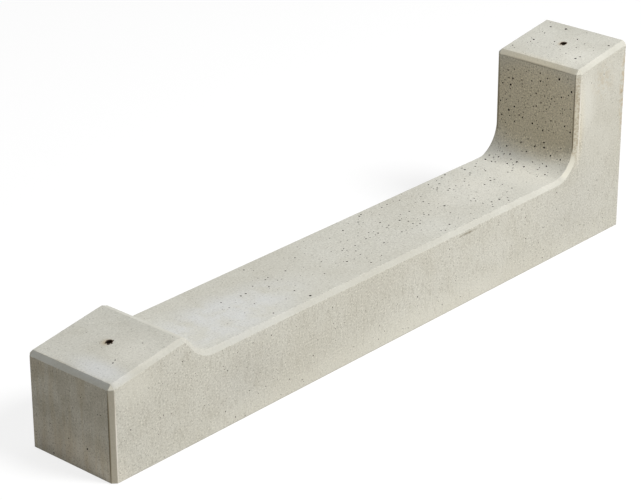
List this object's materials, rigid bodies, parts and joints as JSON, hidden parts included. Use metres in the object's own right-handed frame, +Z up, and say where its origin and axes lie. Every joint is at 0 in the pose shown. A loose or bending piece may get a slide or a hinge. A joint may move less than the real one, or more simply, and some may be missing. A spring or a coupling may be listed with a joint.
{
  "type": "parking wheel stop",
  "caption": "Precast concrete wheel stop: a long low bar with a low sloped end block and a tall upright, chamfered edges, pin sleeves and a cast-in bar cage.",
  "frame": {"origin": "middle of the base, on the ground", "axes": "+X along the length towards the tall upright, +Y across the width, +Z up"},
  "size_m": [1.05, 0.15, 0.2931],
  "materials": {
    "concrete": "matt precast concrete with fine air holes",
    "sleeve_steel": "dull tube, lightly rusted",
    "bar_steel": "hot-rolled, with mill scale",
    "chair_plastic": "matt moulded plastic"
  },
  "bodies": {
    "root": {"concrete_body": "concrete", "low_end_sleeve": "sleeve_steel", "tall_end_sleeve": "sleeve_steel", "bottom_bar_front": "bar_steel", "bottom_bar_back": "bar_steel", "top_bar_front": "bar_steel", "top_bar_back": "bar_steel", "upright_bar_front": "bar_steel", "upright_bar_back": "bar_steel", "cage_link_1": "bar_steel", "cage_link_2": "bar_steel", "cage_link_3": "bar_steel", "cage_link_4": "bar_steel", "cage_link_5": "bar_steel", "cage_link_6": "bar_steel", "cage_link_7": "bar_steel", "upright_link_1": "bar_steel", "upright_link_2": "bar_steel", "upright_link_3": "bar_steel", "bar_chair_front_1": "chair_plastic", "bar_chair_front_2": "chair_plastic", "bar_chair_front_3": "chair_plastic", "bar_chair_back_1": "chair_plastic", "bar_chair_back_2": "chair_plastic", "bar_chair_back_3": "chair_plastic"}
  },
  "joints": []
}
